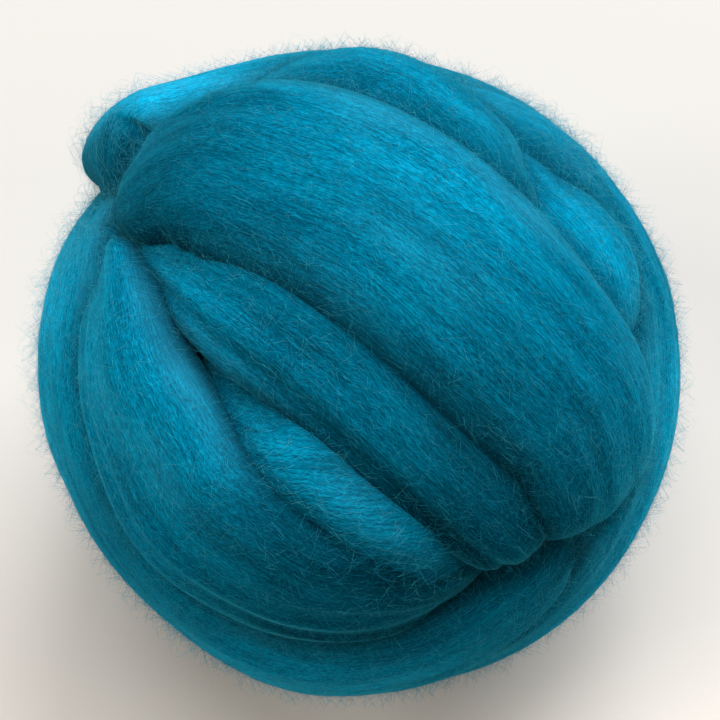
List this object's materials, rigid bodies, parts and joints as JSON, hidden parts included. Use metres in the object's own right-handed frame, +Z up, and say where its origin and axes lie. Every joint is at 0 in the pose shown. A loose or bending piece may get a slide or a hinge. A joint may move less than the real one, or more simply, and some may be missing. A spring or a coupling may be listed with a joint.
{
  "type": "wool roving ball",
  "caption": "Hand-wound ball of soft combed wool roving, its broad turns crossing over a belt of turns, resting on a small flat spot.",
  "frame": {"origin": "middle of the ball's footprint, on the surface that it rests on", "axes": "+Z up, -Y towards the side that the picture is taken from, +X to the right there"},
  "size_m": [0.1553, 0.1666, 0.1328],
  "materials": {
    "teal_wool": "dull dyed wool with a fine hairy nap"
  },
  "bodies": {
    "root": {"roving_ball": "teal_wool"}
  },
  "joints": []
}
